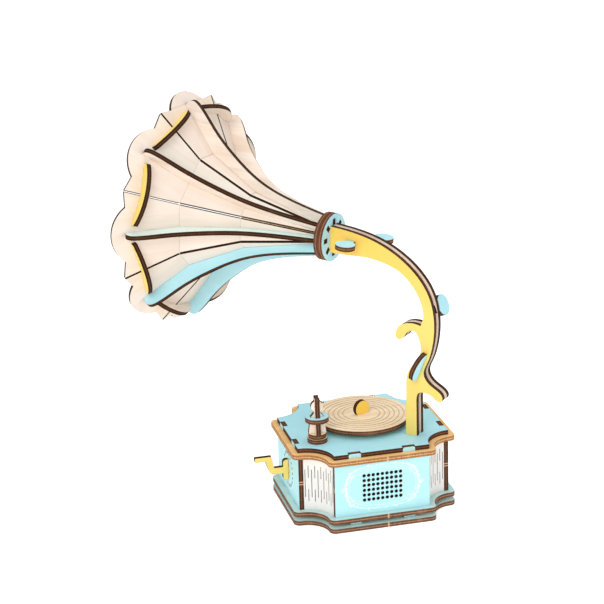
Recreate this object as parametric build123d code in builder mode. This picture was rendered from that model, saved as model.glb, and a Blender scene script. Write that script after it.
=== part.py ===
"""Gramophone model kit in laser-cut plywood: box, turntable, crank, arm and eight-petal horn.

Millimetres, +Z up. The origin is the centre of the base plate's underside, where the model
rests. The grille panel faces -Y and the crank comes out of the left wall, towards -X.
"""
import os
from math import atan, atan2, cos, degrees, radians, sin, sqrt, tan

from build123d import *

os.makedirs("parts", exist_ok=True)

# ---- sheet and fits -------------------------------------------------------------------------
ply = 3.0  # plywood sheet of the box, the arm and the ribs
petal_ply = 2.0  # thinner sheet of the horn's panels
slot_fit = 0.1  # play round a tab in its slot, each side
slip = 0.3  # play between pieces that move past each other
tab_reach = 2 * ply  # a wall tab goes through two sheets

# ---- box ------------------------------------------------------------------------------------
box_width = 99.0  # deck, left to right
box_depth = 92.0  # deck, front to back
corner_radius = 18.5  # the hollow corners of the deck
plate_overhang = 4.0  # how far the trim, floor and base plates stand out past the deck
wall_height = 36.0
tab_width = 8.0
tab_corner = 1.2
front_tab_pitch = 35.2  # between the two tabs of the front and back walls
side_tab_pitch = 30.6  # between the two tabs of the side walls

half_w = box_width / 2
half_d = box_depth / 2
base_z = 0.0
spacer_z = base_z + ply
floor_z = spacer_z + ply
wall_z = floor_z + ply
trim_z = wall_z + wall_height
deck_z = trim_z + ply
deck_top = deck_z + ply
wall_mid_z = wall_z + wall_height / 2

# ---- speaker grille and hinge slits ---------------------------------------------------------
grille_columns = 9
grille_rows = 6
grille_pitch_x = 2.97
grille_pitch_z = 3.3
grille_hole = 2.2
slit_count = 11
slit_width = 0.35
slit_length = 19.0
slit_short = 8.4  # every other row has a pair of these in place of one long slit
slit_spread = 8.0  # of the middle of a short slit from mid height
slit_span = 65.0  # degrees of the corner arc that carry slits

# ---- turntable ------------------------------------------------------------------------------
table_x = 0.8
table_y = 3.0
table_radius = 31.2
hub_radius = 7.0
key_radius = 5.4
key_turn = 21.0  # degrees from +X to the key's plane
key_rise = 3.6  # key centre above the turntable
stem_width = 5.0
groove_depth = 0.25
groove_width = 0.5
groove_pitch = 3.1
first_groove = 12.0
last_groove = 28.0
retainer_radius = 6.0

# ---- crank ----------------------------------------------------------------------------------
crank_z = 26.15  # axis of the crank, along X
shaft_height = 4.3
boss_height = 14.1
boss_width = 3.5
arm_out = 9.6  # from the wall's face to the foot of the crank's web
web_width = 3.7
web_lean = 1.7  # how much further out the web's top is than its foot
grip_length = 10.9
grip_height = 3.0
grip_round = 0.7
crank_throw = 8.8  # from the shaft's axis to the grip's middle
crank_tail = 3.6  # how far the shaft reaches in past the wall
web_foot = 1.0  # how far the web's foot overlaps the shaft
crank_washer_radius = 6.0

# ---- ornament post on the deck --------------------------------------------------------------
post_x = -34.5
post_y = -19.0
post_turn = -5.0
post_base_radius = 6.3
post_step_radius = 5.7
post_ring_radius = 7.5
post_ring_z = 14.0
post_height = 30.0
post_foot_width = 11.3
post_eye_neck = 2.1  # half widths of the two plates' necks
post_plain_neck = 3.1
post_eye_drop = 2.2  # how much lower the eye's top is than the plain plate's
post_eye_radius = 3.8
post_eye_hole = 1.6
post_shoulder = 4.2  # half width of both plates just above the ring
post_neck_rise = 2.5  # from the ring's top to where the necks begin
post_tenon = 7.0
post_seat_lip = 0.3  # the plates stand out this much under the ring, so that it seats

# ---- arm: two parallel plates on the box's diagonal -----------------------------------------
arm_bearing = 135.0  # degrees from +X to the side that the horn is on
arm_shift = 2.1  # of the arm's middle plane from the middle of the box
arm_gap = ply
leg_inner = -33.6
leg_outer = -41.3
arm_end_top = 8.3  # the plates' end on the collar, above and below the horn's axis
arm_end_bottom = 9.0
arm_tab = 10.0  # height of the plates' tabs in the collar
neck_slot = 7.0
neck_button_radius = 9.8
neck_button_shift = 5.6  # of that disc towards the front plate's side
button_neck = 5.0

# ---- collar and horn ------------------------------------------------------------------------
collar_reach = 18.7
horn_z = 173.6
horn_tilt = 3.1
collar_radius = 15.4
petals = 8
throat_radius = 7.0
throat_gap = 0.4  # between the collar and the panels
throat_end = 57.0
throat_end_radius = 21.8
flare_end = 90.0
flare_end_radius = 43.6
rim_end = 111.4
rim_radius = 76.0
lobe_half_width = 18.0
lobe_rise = 9.3
lobe_notch = 0.7
seam_gap = 0.25
rib_tab_low = 8.2
rib_tab_high = 12.2
rib_foot = 13.3
rib_tab = 6.0
rib_setback = 0.5  # of the ribs' ends from the rim, along the axis
stay_place = 13.0  # along the seam, from the rim
stay_height = 6.9
stay_half = 20.0
stay_end_height = 3.6
tab_recess = 0.8

collar_length = 2 * ply
throat_start = collar_length + throat_gap
step = 360 / petals
half_step = step / 2


def place(x, y, turn=0.0, z=0.0):
    """A horizontal plane at (x, y, z), turned about Z."""
    return Plane(origin=(x, y, z), x_dir=(cos(radians(turn)), sin(radians(turn)), 0), z_dir=(0, 0, 1))


def save(part, name):
    """Label one finished piece and write it."""
    part.label = name
    export_step(part, f"parts/{name}.step")


# ---- outlines of the box's flat plates ------------------------------------------------------
with BuildSketch(mode=Mode.PRIVATE) as deck_outline:
    Rectangle(box_width, box_depth)
    with Locations((half_w, half_d), (-half_w, half_d), (-half_w, -half_d), (half_w, -half_d)):
        Circle(corner_radius, mode=Mode.SUBTRACT)

with BuildSketch(mode=Mode.PRIVATE) as plate_outline:
    add(deck_outline.sketch)
    offset(amount=plate_overhang, kind=Kind.ARC)

# places of the wall tabs in plan, with the tab's own size across and along
front_tabs = [(sx * front_tab_pitch / 2, sy * (half_d - ply / 2)) for sx in (-1, 1) for sy in (-1, 1)]
side_tabs = [(sx * (half_w - ply / 2), sy * side_tab_pitch / 2) for sx in (-1, 1) for sy in (-1, 1)]

# the arm's middle plane: local x runs towards the horn, local y is up
bearing = radians(arm_bearing)
arm_along = Vector(cos(bearing), sin(bearing), 0)
arm_across = Vector(sin(bearing), -cos(bearing), 0)
arm_plane = Plane(origin=arm_across * arm_shift, x_dir=arm_along, z_dir=arm_across)
leg_width = leg_inner - leg_outer
leg_middle = (leg_inner + leg_outer) / 2
plate_middle = (arm_gap + ply) / 2  # from the arm's middle plane to the middle of a plate
leg_places = [arm_plane.from_local_coords((leg_middle, 0, side * plate_middle)) for side in (-1, 1)]


def wall_tab_slots():
    """Cut the walls' tab slots out of the sketch in hand."""
    with Locations(*front_tabs):
        Rectangle(tab_width + 2 * slot_fit, ply + 2 * slot_fit, mode=Mode.SUBTRACT)
    with Locations(*side_tabs):
        Rectangle(ply + 2 * slot_fit, tab_width + 2 * slot_fit, mode=Mode.SUBTRACT)


def leg_slots():
    """Cut the slots of the arm's two legs out of the sketch in hand."""
    for spot in leg_places:
        with Locations(Location((spot.X, spot.Y, 0), (0, 0, arm_bearing))):
            Rectangle(leg_width + 2 * slot_fit, ply + 2 * slot_fit, mode=Mode.SUBTRACT)


stem_reach = sqrt(stem_width**2 + ply**2) / 2  # from the spindle's axis to the stem's corner
spindle_hole = stem_reach + slip

# ---- base, floor, trim and deck plates ------------------------------------------------------
with BuildPart() as base_plate:
    with BuildSketch(Plane.XY.offset(base_z)):
        add(plate_outline.sketch)
    extrude(amount=ply)
save(base_plate.part, "base_plate")

spacer_inset = ply + slot_fit  # the spacer keeps behind the wall tabs, which stand free before it
with BuildPart() as base_spacer:
    with BuildSketch(Plane.XY.offset(spacer_z)):
        Rectangle(box_width - 2 * spacer_inset, box_depth - 2 * spacer_inset)
        with Locations((half_w, half_d), (-half_w, half_d), (-half_w, -half_d), (half_w, -half_d)):
            Circle(corner_radius + spacer_inset, mode=Mode.SUBTRACT)
    extrude(amount=ply)
save(base_spacer.part, "base_spacer")

with BuildPart() as floor_plate:
    with BuildSketch(Plane.XY.offset(floor_z)):
        add(plate_outline.sketch)
        wall_tab_slots()
        leg_slots()
    extrude(amount=ply)
save(floor_plate.part, "floor_plate")

with BuildPart() as trim_plate:
    with BuildSketch(Plane.XY.offset(trim_z)):
        add(plate_outline.sketch)
        wall_tab_slots()
        leg_slots()
        with Locations((table_x, table_y)):
            Circle(spindle_hole, mode=Mode.SUBTRACT)
    extrude(amount=ply)
save(trim_plate.part, "trim_plate")

with BuildPart() as deck_plate:
    with BuildSketch(Plane.XY.offset(deck_z)):
        add(deck_outline.sketch)
        wall_tab_slots()
        leg_slots()
        with Locations((table_x, table_y)):
            Circle(spindle_hole, mode=Mode.SUBTRACT)
    extrude(amount=ply)
save(deck_plate.part, "deck_plate")


# ---- walls ----------------------------------------------------------------------------------
def wall_outline(width, tab_pitch):
    """A wall with two rounded tabs above and below, drawn about its own middle."""
    Rectangle(width, wall_height)
    for up in (-1, 1):
        middle_y = up * (wall_height + tab_reach) / 2
        with BuildSketch(mode=Mode.PRIVATE) as tabs:
            with Locations((-tab_pitch / 2, middle_y), (tab_pitch / 2, middle_y)):
                Rectangle(tab_width, tab_reach)
            ends = tabs.vertices().group_by(Axis.Y)[-1 if up > 0 else 0]
            fillet(ends, tab_corner)
        add(tabs.sketch)


front_width = box_width - 2 * corner_radius
side_width = box_depth - 2 * corner_radius
front_face = Plane(origin=(0, -half_d, wall_mid_z), x_dir=(1, 0, 0), z_dir=(0, -1, 0))
back_face = Plane(origin=(0, half_d, wall_mid_z), x_dir=(-1, 0, 0), z_dir=(0, 1, 0))
left_face = Plane(origin=(-half_w, 0, wall_mid_z), x_dir=(0, -1, 0), z_dir=(-1, 0, 0))
right_face = Plane(origin=(half_w, 0, wall_mid_z), x_dir=(0, 1, 0), z_dir=(1, 0, 0))

with BuildPart() as front_panel:
    with BuildSketch(front_face):
        wall_outline(front_width, front_tab_pitch)
        with GridLocations(grille_pitch_x, grille_pitch_z, grille_columns, grille_rows):
            Circle(grille_hole / 2, mode=Mode.SUBTRACT)
    extrude(amount=-ply)
save(front_panel.part, "front_panel")

with BuildPart() as back_panel:
    with BuildSketch(back_face):
        wall_outline(front_width, front_tab_pitch)
    extrude(amount=-ply)
save(back_panel.part, "back_panel")

shaft_reach = sqrt(shaft_height**2 + ply**2) / 2
shaft_hole = shaft_reach + slip
with BuildPart() as left_panel:
    with BuildSketch(left_face):
        wall_outline(side_width, side_tab_pitch)
        with Locations((0, crank_z - wall_mid_z)):
            Circle(shaft_hole, mode=Mode.SUBTRACT)
    extrude(amount=-ply)
save(left_panel.part, "left_panel")

with BuildPart() as right_panel:
    with BuildSketch(right_face):
        wall_outline(side_width, side_tab_pitch)
    extrude(amount=-ply)
save(right_panel.part, "right_panel")

# ---- curved corner panels with living-hinge slits -------------------------------------------
corner_names = {"front_left": (-1, -1), "front_right": (1, -1), "back_right": (1, 1), "back_left": (-1, 1)}
slit_depth = 3 * ply  # more than the panel's thickness
for name, (sx, sy) in corner_names.items():
    towards = degrees(atan2(-sy, -sx))
    with BuildPart() as corner_panel:
        with BuildSketch(Plane.XY.offset(wall_z)):
            with Locations((sx * half_w, sy * half_d)):
                Circle(corner_radius + ply)
                Circle(corner_radius, mode=Mode.SUBTRACT)
            Rectangle(box_width - 2 * ply, box_depth - 2 * ply, mode=Mode.INTERSECT)
        extrude(amount=wall_height)
        for i in range(slit_count):
            angle = towards + slit_span * (i / (slit_count - 1) - 0.5)
            ray = Plane(
                origin=(sx * half_w, sy * half_d, wall_mid_z),
                x_dir=(-sin(radians(angle)), cos(radians(angle)), 0),
                z_dir=(cos(radians(angle)), sin(radians(angle)), 0),
            )
            with BuildSketch(ray.offset(corner_radius - ply)):
                if i % 2:
                    with Locations((0, slit_spread), (0, -slit_spread)):
                        SlotOverall(slit_short, slit_width, rotation=90)
                else:
                    SlotOverall(slit_length, slit_width, rotation=90)
            extrude(amount=slit_depth, mode=Mode.SUBTRACT)
    save(corner_panel.part, f"corner_panel_{name}")

# ---- turntable ------------------------------------------------------------------------------
hub_z = deck_top + slip
disc_z = hub_z + ply - slip
table_top = disc_z + ply
key_plane_x = (cos(radians(key_turn)), sin(radians(key_turn)), 0)
retainer_z = trim_z - ply - slip
stem_bottom = retainer_z - ply / 2


def stem_slot():
    """Cut the slot that the spindle key's stem fills."""
    Rectangle(stem_width, ply, mode=Mode.SUBTRACT)


with BuildPart() as turntable_disc:
    with BuildSketch(place(table_x, table_y, key_turn, disc_z)):
        Circle(table_radius)
        stem_slot()
    extrude(amount=ply)
    groove_steps = int((last_groove - first_groove) / groove_pitch)
    for i in range(groove_steps + 1):
        radius = first_groove + i * groove_pitch
        with BuildSketch(place(table_x, table_y, 0, table_top)):
            Circle(radius + groove_width / 2)
            Circle(radius - groove_width / 2, mode=Mode.SUBTRACT)
        extrude(amount=-groove_depth, mode=Mode.SUBTRACT)
save(turntable_disc.part, "turntable_disc")

with BuildPart() as hub_washer:
    with BuildSketch(place(table_x, table_y, key_turn, hub_z)):
        Circle(hub_radius)
        stem_slot()
    extrude(amount=disc_z - hub_z)
save(hub_washer.part, "hub_washer")

with BuildPart() as spindle_retainer:
    with BuildSketch(place(table_x, table_y, key_turn, retainer_z)):
        Circle(retainer_radius)
        stem_slot()
    extrude(amount=ply)
save(spindle_retainer.part, "spindle_retainer")

key_sketch_plane = Plane(
    origin=(table_x, table_y, 0), x_dir=key_plane_x, z_dir=Vector(*key_plane_x).cross(Vector(0, 0, 1))
)
with BuildPart() as spindle_key:
    with BuildSketch(key_sketch_plane):
        with Locations((0, table_top + key_rise)):
            Circle(key_radius)
        with Locations((0, table_top - key_radius)):
            Rectangle(4 * key_radius, 2 * key_radius, mode=Mode.SUBTRACT)
        with Locations((0, (table_top + stem_bottom) / 2)):
            Rectangle(stem_width, table_top - stem_bottom)
    extrude(amount=ply / 2, both=True)
save(spindle_key.part, "spindle_key")

# ---- crank ----------------------------------------------------------------------------------
crank_plane = Plane(origin=(-half_w, 0, crank_z), x_dir=(-1, 0, 0), z_dir=(0, 1, 0))
shaft_inner = ply + slip + crank_tail
half_shaft = shaft_height / 2
web_top = crank_throw + grip_height / 2
web_under = crank_throw - grip_height / 2
with BuildPart() as crank_handle:
    with BuildSketch(crank_plane):
        with Locations(((arm_out - shaft_inner) / 2, 0)):
            Rectangle(arm_out + shaft_inner, shaft_height)
        with BuildSketch(mode=Mode.PRIVATE) as boss:
            with Locations((slip + boss_width / 2, 0)):
                Rectangle(boss_width, boss_height)
            fillet(boss.vertices().group_by(Axis.X)[-1], boss_width * 0.6)
        add(boss.sketch)
        with BuildLine():
            Line((arm_out - web_foot, half_shaft), (arm_out, half_shaft))
            Line((arm_out, half_shaft), (arm_out + web_lean, web_top))
            Line((arm_out + web_lean, web_top), (arm_out + web_lean + web_width, web_top))
            Line((arm_out + web_lean + web_width, web_top), (arm_out + web_lean + web_width, web_under))
            Spline(
                (arm_out + web_lean + web_width, web_under), (arm_out + web_width, half_shaft / 2),
                (arm_out + web_width / 3, -half_shaft), tangents=((-0.1, -1), (-1, -0.4)),
            )
            Line((arm_out + web_width / 3, -half_shaft), (arm_out - web_foot, -half_shaft))
            Line((arm_out - web_foot, -half_shaft), (arm_out - web_foot, half_shaft))
        make_face()
        with Locations((arm_out + web_lean + grip_length / 2, crank_throw)):
            RectangleRounded(grip_length, grip_height, grip_round)
    extrude(amount=ply / 2, both=True)
save(crank_handle.part, "crank_handle")

washer_x = -half_w + ply + slip
with BuildPart() as crank_washer:
    with BuildSketch(Plane(origin=(washer_x, 0, crank_z), x_dir=(0, 1, 0), z_dir=(1, 0, 0))):
        Circle(crank_washer_radius)
        Rectangle(ply, shaft_height, mode=Mode.SUBTRACT)
    extrude(amount=ply)
save(crank_washer.part, "crank_washer")

# ---- ornament post --------------------------------------------------------------------------
post_step_z = deck_top + ply
post_plate_z = post_step_z + ply
ring_z = deck_top + post_ring_z
eye_z = deck_top + post_height - post_eye_drop - post_eye_radius
plain_top = deck_top + post_height
lap_z = (post_plate_z + ring_z) / 2  # the crossed plates are half-lapped up to here
ring_slot = 2 * (post_shoulder + slot_fit)  # the ring slides down over the shoulders
ring_seat = ring_slot / 2 + post_seat_lip


def post_disc(radius, z, slot_length):
    """A flat disc of the post with the crossed slots of its two plates."""
    with BuildPart() as disc:
        with BuildSketch(place(post_x, post_y, post_turn, z)):
            Circle(radius)
            Rectangle(slot_length + 2 * slot_fit, ply + 2 * slot_fit, mode=Mode.SUBTRACT)
            Rectangle(ply + 2 * slot_fit, slot_length + 2 * slot_fit, mode=Mode.SUBTRACT)
        extrude(amount=ply)
    return disc.part


save(post_disc(post_base_radius, deck_top, post_tenon), "post_base_disc")
save(post_disc(post_step_radius, post_step_z, post_tenon), "post_step_disc")
save(post_disc(post_ring_radius, ring_z, ring_slot - 2 * slot_fit), "post_ring_disc")


def post_profile(top_z, half_neck):
    """The flared profile of a post plate: a tenon, a foot, a shoulder for the ring and a neck."""
    half_foot = post_foot_width / 2
    shoulder_z = ring_z + ply
    neck_z = shoulder_z + post_neck_rise
    with BuildSketch() as profile:
        with BuildLine():
            Polyline((0, post_plate_z), (half_foot, post_plate_z), (ring_seat, ring_z))
            Polyline((ring_seat, ring_z), (post_shoulder, ring_z), (post_shoulder, shoulder_z))
            Line((post_shoulder, shoulder_z), (half_neck, neck_z))
            Polyline((half_neck, neck_z), (half_neck, top_z), (0, top_z))
            Line((0, top_z), (0, post_plate_z))
        make_face()
        mirror(about=Plane.YZ)
        with Locations((0, (deck_top + post_plate_z) / 2)):
            Rectangle(post_tenon, post_plate_z - deck_top)
    return profile.sketch


plate_normal = Vector(cos(radians(post_turn)), sin(radians(post_turn)), 0)
plate_along = Vector(-plate_normal.Y, plate_normal.X, 0)
eye_plane = Plane(origin=(post_x, post_y, 0), x_dir=plate_normal, z_dir=plate_along * -1)
plain_plane = Plane(origin=(post_x, post_y, 0), x_dir=plate_along, z_dir=plate_normal)
eye_profile = post_profile(eye_z, post_eye_neck)
plain_profile = post_profile(plain_top, post_plain_neck)

with BuildPart() as post_eye_plate:
    with BuildSketch(eye_plane):
        add(eye_profile)
        with Locations((0, eye_z)):
            Circle(post_eye_radius)
            Circle(post_eye_hole, mode=Mode.SUBTRACT)
        with Locations((0, (deck_top + lap_z) / 2)):
            Rectangle(ply + 2 * slot_fit, lap_z - deck_top, mode=Mode.SUBTRACT)
    extrude(amount=ply / 2, both=True)
save(post_eye_plate.part, "post_eye_plate")

with BuildPart() as post_plain_plate:
    with BuildSketch(plain_plane):
        add(plain_profile)
        with Locations((0, (lap_z + plain_top) / 2)):
            Rectangle(ply + 2 * slot_fit, plain_top - lap_z, mode=Mode.SUBTRACT)
    extrude(amount=ply / 2, both=True)
save(post_plain_plate.part, "post_plain_plate")

# ---- arm ------------------------------------------------------------------------------------
# points of the two edges in the arm's own plane: along the diagonal, then height
horn_lean = radians(horn_tilt)
collar_point = (collar_reach, horn_z)
collar_up = (-sin(horn_lean), cos(horn_lean))
arm_top = tuple(collar_point[i] + arm_end_top * collar_up[i] for i in range(2))
arm_bottom = tuple(collar_point[i] - arm_end_bottom * collar_up[i] for i in range(2))
arm_back_top = ((-8, 177.6), (-35, 164.2), (-50.4, 145.5), (-54.1, 128), (-52.4, 111.2))
arm_back_waist = ((-49.1, 101.4), (-46.6, 93.6), (-50.1, 87.8))
arm_tail = (
    (-53.4, 85.6), (-56.6, 83.7), (-59.0, 81.4), (-59.6, 79.0), (-58.5, 77.2), (-56.4, 76.9),
    (-54.0, 78.2), (-51.4, 80.2), (-46.4, 81.2),
)
leg_back = (leg_outer, 74.8)
leg_front = (leg_inner, 64)
arm_front_waist = ((-34.1, 79.1), (-35.3, 92.7), (-39.6, 99.6), (-44.4, 107.6), (-43.6, 116))
arm_leaf = (
    (-40.3, 121.2), (-35.4, 119.9), (-31.8, 115.4), (-28.2, 114.6), (-27.6, 120.2), (-32.4, 125),
    (-38.6, 126.3),
)
leaf_root = (-44.6, 125.4)
arch_foot = (-46.7, 131)
arm_arch = ((-44.6, 141.5), (-38.6, 151.3), (-27.8, 160), (-12, 164.4))

with BuildSketch() as arm_outline:
    with BuildLine():
        Line(arm_bottom, arm_top)
        Spline(
            arm_top, *arm_back_top, *arm_back_waist, *arm_tail, leg_back, tangents=((-1, -0.09), (0, -1))
        )
        Polyline(leg_back, (leg_outer, floor_z), (leg_inner, floor_z), leg_front)
        Spline(leg_front, *arm_front_waist, *arm_leaf, leaf_root, tangents=((0, 1), (-1, -0.3)))
        Line(leaf_root, arch_foot)
        Spline(arch_foot, *arm_arch, arm_bottom, tangents=((0, 1), (1, 0)))
    make_face()

tab_length = collar_length - tab_recess  # of the tabs that enter the collar
tab_middle = (
    collar_point[0] + tab_length / 2 * cos(horn_lean),
    collar_point[1] + tab_length / 2 * sin(horn_lean),
)


def button_plane(spot, slope):
    """The plane of a button: local x across the arm plates, local y along the arm's edge."""
    lean = radians(slope)
    origin = arm_plane.from_local_coords((spot[0], spot[1], 0))
    edge = arm_along * -cos(lean) + Vector(0, 0, -sin(lean))
    return Plane(origin=origin, x_dir=arm_across, z_dir=arm_across.cross(edge))


# name, place on the arm, slope of the arm there, side it stands on, its disc's radius, bare neck
buttons = (
    ("arm_button_1", (3.4, 173.0), 6.0, -1, 6.3, 1.8),
    ("arm_button_2", (-10.2, 172.6), 6.0, 1, 6.3, 1.8),
    ("arm_button_3", (-51.0, 135.2), 68.0, 1, 6.7, 0.6),
)
plate_far = arm_gap / 2 + ply  # outer face of a plate, from the arm's middle plane
neck_spot = (-44.2, 98.9)
neck_slope = 112.0


def arm_plate(side):
    """One of the two arm plates, with the slots of the buttons that pass through it."""
    with BuildPart() as plate:
        with BuildSketch(arm_plane.offset(side * plate_middle)):
            add(arm_outline.sketch)
            with Locations(Location((tab_middle[0], tab_middle[1], 0), (0, 0, horn_tilt))):
                Rectangle(tab_length, arm_tab)
            for _, spot, slope, button_side, _, _ in buttons:
                if button_side == side:
                    with Locations(Location((spot[0], spot[1], 0), (0, 0, slope))):
                        Rectangle(button_neck + 2 * slot_fit, ply + 2 * slot_fit, mode=Mode.SUBTRACT)
            with Locations(Location((neck_spot[0], neck_spot[1], 0), (0, 0, neck_slope))):
                Rectangle(neck_slot + 2 * slot_fit, ply + 2 * slot_fit, mode=Mode.SUBTRACT)
        extrude(amount=ply / 2, both=True)
    return plate.part


save(arm_plate(-1), "arm_front_plate")
save(arm_plate(1), "arm_rear_plate")

neck_start = arm_gap / 2
for name, spot, slope, side, radius, bare_neck in buttons:
    button_middle = plate_far + bare_neck + radius
    with BuildPart() as button:
        with BuildSketch(button_plane(spot, slope)):
            with Locations((side * button_middle, 0)):
                Circle(radius)
            with Locations((side * (button_middle + neck_start) / 2, 0)):
                Rectangle(button_middle - neck_start, button_neck)
        extrude(amount=ply / 2, both=True)
    save(button.part, name)

with BuildPart() as neck_button:
    with BuildSketch(button_plane(neck_spot, neck_slope)):
        with Locations((-neck_button_shift, 0)):
            Circle(neck_button_radius)
        with Locations((-plate_middle, 0), (plate_middle, 0)):
            Rectangle(ply + 2 * slot_fit, 3 * neck_button_radius, mode=Mode.SUBTRACT)
        Rectangle(2 * (plate_far + slot_fit), neck_slot)
    extrude(amount=ply / 2, both=True)
save(neck_button.part, "arm_button_4")

# ---- collar ---------------------------------------------------------------------------------
horn_origin = arm_plane.from_local_coords((collar_reach, horn_z, 0))
horn_axis = arm_along * cos(horn_lean) + Vector(0, 0, sin(horn_lean))
horn_up = arm_along * -sin(horn_lean) + Vector(0, 0, cos(horn_lean))
horn_plane = Plane(origin=horn_origin, x_dir=horn_up, z_dir=horn_axis)


def collar_disc(offset_along):
    """A disc with slots for the two arm tabs and the eight rib tabs."""
    with BuildPart() as disc:
        with BuildSketch(horn_plane.offset(offset_along)):
            Circle(collar_radius)
            with Locations((0, -plate_middle), (0, plate_middle)):
                Rectangle(arm_tab + 2 * slot_fit, ply + 2 * slot_fit, mode=Mode.SUBTRACT)
            with PolarLocations((rib_tab_low + rib_tab_high) / 2, petals):
                Rectangle(
                    rib_tab_high - rib_tab_low + 2 * slot_fit, ply + 2 * slot_fit, mode=Mode.SUBTRACT
                )
        extrude(amount=ply)
    return disc.part


save(collar_disc(0), "collar_arm_disc")
save(collar_disc(ply), "collar_horn_disc")

# ---- horn -----------------------------------------------------------------------------------
# each petal is three flat panels between seams that lie on these stations: along the axis, radius
stations = (
    (throat_start, throat_radius),
    (throat_end, throat_end_radius),
    (flare_end, flare_end_radius),
    (rim_end, rim_radius),
)
to_middle = cos(radians(half_step))  # from a seam's radius to the middle of a panel


def radial(angle):
    """Unit vector square to the horn's axis, at an angle from its upward direction."""
    turn = radians(angle)
    return horn_plane.x_dir * cos(turn) + horn_plane.y_dir * sin(turn)


def section_plane(angle):
    """The plane through the horn's axis at an angle: local x along the axis, local y outwards."""
    return Plane(
        origin=horn_origin, x_dir=horn_plane.z_dir, z_dir=horn_plane.z_dir.cross(radial(angle))
    )


def panel_plane(angle, first, last):
    """The outer face of a panel: local x across, local y towards the mouth, z outwards."""
    along = last[0] - first[0]
    out = (last[1] - first[1]) * to_middle
    section = section_plane(angle)
    origin = section.from_local_coords((first[0], first[1] * to_middle, 0))
    slant = (section.x_dir * along + section.y_dir * out).normalized()
    return Plane(origin=origin, x_dir=section.z_dir, z_dir=section.z_dir.cross(slant))


def slant_length(first, last):
    """Length of a panel along its middle."""
    return sqrt((last[0] - first[0]) ** 2 + ((last[1] - first[1]) * to_middle) ** 2)


# where the rib's two tabs go through the panels: station pair, distance along it
tab_places = ((1, 0.5 * slant_length(stations[1], stations[2])),
              (2, 0.5 * slant_length(stations[2], stations[3])))


def slope_of(index):
    """Angle between a panel's middle line and the horn's axis."""
    first, last = stations[index], stations[index + 1]
    return atan((last[1] - first[1]) * to_middle / (last[0] - first[0]))


def panel(angle, index):
    """One flat panel of a petal, cut square; neighbours meet along the edges of their inner faces."""
    first, last = stations[index], stations[index + 1]
    length = slant_length(first, last)
    lost = petal_ply * cos(slope_of(index))  # the inner face is this much nearer to the axis
    half_first = (first[1] * to_middle - lost) * tan(radians(half_step)) - seam_gap
    half_last = (last[1] * to_middle - lost) * tan(radians(half_step)) - seam_gap
    with BuildPart() as piece:
        with BuildSketch(panel_plane(angle, first, last)):
            with BuildLine():
                Polyline((-half_last, length), (-half_first, 0), (half_first, 0), (half_last, length))
                if last is stations[-1]:
                    notch = length - lobe_notch
                    Line((half_last, length), (lobe_half_width, notch))
                    ThreePointArc(
                        (lobe_half_width, notch), (0, notch + lobe_rise), (-lobe_half_width, notch)
                    )
                    Line((-lobe_half_width, notch), (-half_last, length))
                else:
                    Line((half_last, length), (-half_last, length))
            make_face()
            for place_index, spot in tab_places:
                if place_index == index:
                    with Locations((0, spot)):
                        Rectangle(ply + 2 * slot_fit, rib_tab + 2 * slot_fit, mode=Mode.SUBTRACT)
        extrude(amount=-petal_ply)
    return piece.part


# the rib's outer edge between the collar and the rim: along the axis, radius
rib_curve = ((32, 19), (56, 28), (73, 40), (89, 55.8), (100, 69.6), (105.4, 73.2))
rib_end = rim_end - rib_setback
rim_share = (rib_end - flare_end) / (rim_end - flare_end)
rib_end_radius = (flare_end_radius + (rim_radius - flare_end_radius) * rim_share) * to_middle
for number in range(petals):
    angle = -number * step
    with BuildPart() as rib:
        with BuildSketch(section_plane(angle)):
            with BuildLine():
                Polyline(
                    (rib_end, rib_end_radius + slot_fit),
                    (flare_end, flare_end_radius * to_middle + slot_fit),
                    (throat_end, throat_end_radius * to_middle + slot_fit),
                    (throat_start, throat_radius * to_middle + slot_fit),
                    (collar_length, throat_radius * to_middle + slot_fit),
                    (collar_length, rib_foot),
                )
                Spline(
                    (collar_length, rib_foot), *rib_curve, (rib_end, rib_end_radius + slot_fit),
                    tangents=((1, 0.2), (0.5, -1)),
                )
            make_face()
            with Locations((collar_length - tab_length / 2, (rib_tab_low + rib_tab_high) / 2)):
                Rectangle(tab_length, rib_tab_high - rib_tab_low)
            for index, spot in tab_places:
                first = stations[index]
                slope = slope_of(index)
                depth = petal_ply - slot_fit
                centre = (
                    first[0] + spot * cos(slope) + depth / 2 * sin(slope),
                    first[1] * to_middle + spot * sin(slope) - depth / 2 * cos(slope),
                )
                with Locations(Location((centre[0], centre[1], 0), (0, 0, degrees(slope)))):
                    Rectangle(rib_tab, depth + 2 * slot_fit)
        extrude(amount=ply / 2, both=True)
    save(rib.part, f"horn_rib_{number + 1}")
    save(panel(angle, 2), f"horn_outer_panel_{number + 1}")


def ring_of(pieces, name):
    """Write several identical pieces as one node of separate solids."""
    group = Compound(children=pieces)
    group.label = name
    export_step(group, f"parts/{name}.step")


ring_of([panel(-number * step, 1) for number in range(petals)], "horn_middle_panels")
ring_of([panel(-number * step, 0) for number in range(petals)], "horn_throat_panels")


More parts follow.
